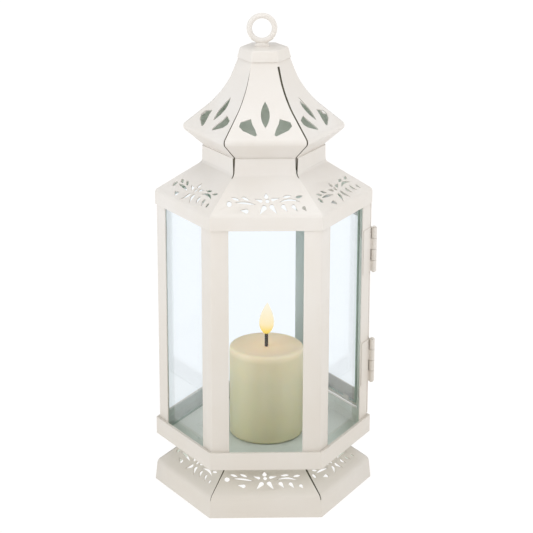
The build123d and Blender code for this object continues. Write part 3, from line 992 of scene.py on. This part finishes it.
def makeFloorPan():
    low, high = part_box("floor_pan")
    s = floorPan
    flat = high.x * math.cos(twelfth)
    top = low.z + s["sheet"]
    plate = bentShell("floorPan", [(flat, low.z), (flat, high.z)], [])
    edit(plate)
    choose(plate, "edges", lambda e: all(v.co.z < low.z + 0.01 * mm for v in e.verts))
    bpy.ops.mesh.edge_face_add()
    faceOutwards()
    restAll()
    applied(plate, "SOLIDIFY", thickness=s["sheet"], offset=-1, use_even_offset=True)
    softEdges(plate, 0.2 * mm, 2, 50)
    pieces = [plate]
    for pip in range(s["pips"]):
        angle = math.tau * (pip + 0.5) / s["pips"]
        place = (s["pipRing"] * math.cos(angle), s["pipRing"] * math.sin(angle), top)
        bpy.ops.mesh.primitive_uv_sphere_add(segments=24, ring_count=12, radius=s["pipRadius"],
                                             location=place)
        dome = begin("pip")
        dome.scale.z = s["pipHeight"] / s["pipRadius"]
        settle(dome)
        edit(dome)
        chooseAll()
        bpy.ops.mesh.bisect(plane_co=(0, 0, top - s["pipSink"]), plane_no=(0, 0, 1),
                            clear_inner=True, use_fill=True)
        restAll()
        smooth(dome, 60)
        pieces.append(dome)
    pan = joined(pieces, "floorPan")
    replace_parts(dress(pan, "lantern", "pan_paint", "panPaint"), "floor_pan")


posts = {"flat": 47.1 * mm, "leg": 8.8 * mm, "sheet": 0.6 * mm, "fold": 1.1 * mm}


def makePosts():
    low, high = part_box("post_right")
    s = posts
    corner = Vector((ringRadius(s["flat"]), 0, low.z))
    tall = high.z - low.z
    legA = Vector((-math.sin(twelfth), -math.cos(twelfth), 0)) * s["leg"]
    legB = Vector((-math.sin(twelfth), math.cos(twelfth), 0)) * s["leg"]
    bpy.ops.mesh.primitive_plane_add(size=1)
    strip = begin("post")
    edit(strip)
    choose(strip, "edges", lambda e: middleOf(e).x > 0.4)
    bpy.ops.mesh.extrude_edges_move(TRANSFORM_OT_translate={"value": (1, 0, 0)})
    restAll()
    for vertex in strip.data.vertices:  # the two legs, standing at the corner
        leg = {-1: legA, 0: Vector(), 1: legB}[round(vertex.co.x - 0.5)]
        up = tall * (vertex.co.y + 0.5)
        vertex.co = corner + leg + Vector((0, 0, up))
    edit(strip)
    choose(strip, "edges", lambda e: (middleOf(e).xy - corner.xy).length < 0.01 * mm)
    bpy.ops.mesh.bevel(offset=s["fold"] * math.tan(twelfth), offset_type="OFFSET", segments=5, profile=0.5,
                       affect="EDGES")
    faceOutwards()
    restAll()
    outward = sum(f.normal.x for f in strip.data.polygons) > 0
    thickened(strip, s["sheet"], "cream", "paintedShadeInside", offset=-1 if outward else 1)
    mended(strip)
    softEdges(strip, 0.12 * mm, 2, 50)
    for number, name in enumerate(cornerNames):
        post = turnedCopy(strip, "post_" + name + ".look", sideTurn(number) + twelfth)
        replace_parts(dress(post, "lantern", "cream_paint"), "post_" + name)
    bpy.data.objects.remove(strip)


glass = {
    "thick": 1.6 * mm, "back": 44.9 * mm, "cornerGap": 1.9 * mm, "seamed": 0.25 * mm,
    "doorBack": 45.7 * mm, "doorHalf": 17.893 * mm,
}


def makePane(name, side, halfWidth, back, low, high):
    pane = block(name, (back, -halfWidth, low), (back + glass["thick"], halfWidth, high), glass["seamed"])
    coat(pane, "paneGlass", "glassEdge")
    for face in pane.data.polygons:
        face.material_index = 0 if abs(face.normal.x) > 0.9 else 1
    pane.rotation_euler.z = sideTurn(side)
    return settle(pane)


def makePanes():
    half = glass["back"] * math.tan(twelfth) - glass["cornerGap"]
    for side, name in enumerate(sideNames):
        if side == doorSide:
            continue
        low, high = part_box("pane_" + name)
        pane = makePane("pane_" + name + ".look", side, half, glass["back"], low.z, high.z)
        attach(pane, "lantern")
        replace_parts(pane, "pane_" + name)
    low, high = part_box("door_pane")
    pane = makePane("door_pane.look", doorSide, glass["doorHalf"], glass["doorBack"], low.z, high.z)
    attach(pane, "door")
    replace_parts(pane, "door_pane")


candle = {
    "rim": 1.9 * mm,  # rounds the edge at the top and at the foot
    "ledge": 2.2 * mm,
    "dish": 0.7 * mm,
    "rings": [(0.35, 1.0), (0.25, 0), (0.15, 0.4), (0.07, 0)],  # shares of the radius, and of the dish
    "wickEdge": 0.3 * mm,
}


def makeCandle():
    low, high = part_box("candle_wax")
    s = candle
    middle = (low + high) / 2
    radius = (high.x - low.x) / 2
    bpy.ops.mesh.primitive_cylinder_add(vertices=96, radius=radius, depth=high.z - low.z, location=middle)
    wax = settle(begin("candleWax"))
    edit(wax)
    choose(wax, "faces", lambda f: f.normal.z > 0.9)
    bpy.ops.mesh.inset(thickness=s["ledge"])
    for width, sink in s["rings"]:
        bpy.ops.mesh.inset(thickness=radius * width)
        if sink:
            bpy.ops.transform.translate(value=(0, 0, -s["dish"] * sink))
    choose(wax, "edges", lambda e: all(abs((v.co - middle).xy.length - radius) < 0.01 * mm for v in e.verts)
           and abs(e.verts[0].co.z - e.verts[1].co.z) < 0.01 * mm)
    bpy.ops.mesh.bevel(offset=s["rim"], segments=5, profile=0.5, affect="EDGES")
    restAll()
    smooth(wax, 60)
    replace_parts(dress(wax, "candle", "wax", "wax"), "candle_wax")
    wickLow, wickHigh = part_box("candle_wick")
    spot = (wickLow + wickHigh) / 2
    bpy.ops.mesh.primitive_cylinder_add(vertices=20, radius=(wickHigh.x - wickLow.x) / 2,
                                        depth=wickHigh.z - wickLow.z, location=spot)
    wick = settle(begin("candleWick"))
    softEdges(wick, s["wickEdge"], 3)
    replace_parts(dress(wick, "candle", "wick", "wick"), "candle_wick")
    return spot, wickHigh.z


flame = {
    "low": 0.6 * mm, "tall": 17.4 * mm, "wide": 7.8 * mm,
    "belly": 0.72, "fullness": 0.85,  # powers that set how low and how round the widest part is
    "lean": 0.5 * mm,
}


def makeFlamePiece(spot, wickTop):
    s = flame
    bpy.ops.mesh.primitive_uv_sphere_add(segments=40, ring_count=28, radius=1)
    fire = begin("flame")
    low = wickTop - s["low"]
    for vertex in fire.data.vertices:  # a teardrop, leaning a little at its tip
        share = (vertex.co.z + 1) / 2
        around = vertex.co.xy.normalized() if vertex.co.xy.length > 1e-6 else Vector((0, 0))
        wide = math.sin(math.pi * share ** s["belly"]) ** s["fullness"] * s["wide"] / 2
        vertex.co = (spot.x + around.x * wide + s["lean"] * share * share, spot.y + around.y * wide,
                     low + share * s["tall"])
    smooth(fire, 180)
    paints["flame"] = makeFlame(low, low + s["tall"])
    dress(fire, "candle", "wick", "flame")


hardware = {  # hinges and trims name their bodies, the frame is all on the door; edges are roundings
    "hinges": [("hinge_leaf_fixed_", "lantern"), ("hinge_leaf_door_", "door"), ("hinge_pin_", "lantern")],
    "hingeEdge": 0.08 * mm,
    "trims": [("latch_button", "turn_button"), ("latch_rivet", "lantern"), ("pane_clips", "lantern"),
              ("door_pane_clips", "door")],
    "trimEdge": 0.1 * mm,
    "frame": ["door_hinge_stile", "door_latch_stile", "door_top_rail", "door_bottom_rail"],
    "frameEdge": 0.14 * mm,
}


def makeHardware():
    for end in ("upper", "lower"):
        for node, body in hardware["hinges"]:
            piece = nodeCopy(node + end, node + end + ".look", hardware["hingeEdge"])
            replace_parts(dress(piece, body, "hinge_paint", "hingePaint"), node + end)
    for node, body in hardware["trims"]:
        piece = nodeCopy(node, node + ".look", hardware["trimEdge"])
        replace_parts(dress(piece, body, "trim_paint", "hingePaint"), node)
    for node in hardware["frame"]:
        piece = nodeCopy(node, node + ".look", hardware["frameEdge"])
        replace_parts(dress(piece, "door", "cream_paint", "cream"), node)


makeCamera()
makeStudio()
print("camera, light and floor are in place")
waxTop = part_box("candle_wax")[1].z
wickPlace = sum(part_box("candle_wick"), Vector()) / 2
wickPlace.z = waxTop  # where the wick leaves the wax
paints["cream"] = makeCream("cream", creamPaint)
paints["hingePaint"] = makeCream("hingePaint", creamPaint, 0.99)  # a touch darker than the sheets
paints["panPaint"] = makeCream("panPaint", panPaint)
paints["paintedShadeInside"] = makePaintedShadeInside()
paints["seam"] = makeSeamShadow()
paints["paneGlass"] = makePaneGlass()
paints["glassEdge"] = makeGlassEdge()
paints["wax"] = makeWax(waxTop, wickPlace)
paints["wick"] = makeWick()
print("finishes are mixed")
makeSkirt()
makeFloorPan()
makeLowerRail()
print("base is bent, pierced and railed")
makePosts()
makePanes()
print("posts and panes stand")
makeShoulder()
makeCanopy()
makeCrownCap()
makeHangingRing()
print("roof is on")
wickSpot, wickTop = makeCandle()
makeFlamePiece(wickSpot, wickTop)
print("candle is lit")
makeHardware()
print("hinges, clips and door are hung")
